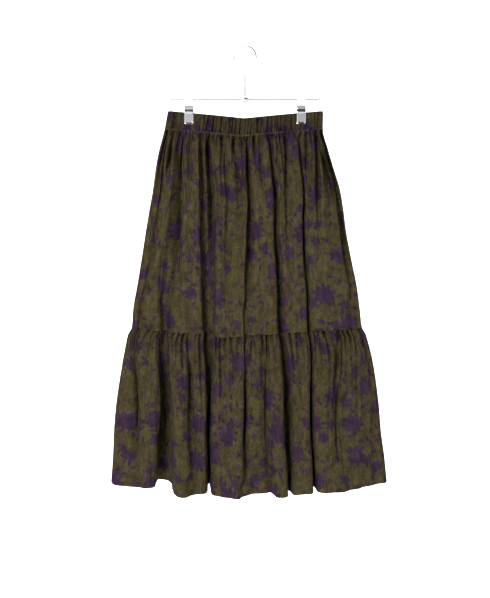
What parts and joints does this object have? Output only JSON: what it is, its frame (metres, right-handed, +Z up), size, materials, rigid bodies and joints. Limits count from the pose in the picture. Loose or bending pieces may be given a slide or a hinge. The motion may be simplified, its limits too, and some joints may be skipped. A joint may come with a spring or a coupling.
{
  "type": "tiered ruffle skirt on clip hanger",
  "caption": "Long two-tier gathered skirt with an elastic waistband, hanging in open folds from the two clips of a wire clip hanger.",
  "frame": {"origin": "the point inside the top of the hanger's hook where a rail carries it", "axes": "+Z up, +X to the right of someone who faces the skirt's front, -Y out of the skirt's front"},
  "size_m": [0.581, 0.199, 0.9088],
  "materials": {
    "printed_cotton": "matte olive cotton with a plum flower print",
    "chromed_steel": "bright chrome plate"
  },
  "bodies": {
    "root": {"waistband_front": "printed_cotton", "waistband_back": "printed_cotton", "upper_tier_front": "printed_cotton", "upper_tier_back": "printed_cotton", "lower_tier_front": "printed_cotton", "lower_tier_back": "printed_cotton", "hanger_frame": "chromed_steel", "clip_left_saddle": "chromed_steel", "clip_left_front": "chromed_steel", "clip_left_back": "chromed_steel", "clip_right_saddle": "chromed_steel", "clip_right_front": "chromed_steel", "clip_right_back": "chromed_steel"}
  },
  "joints": []
}
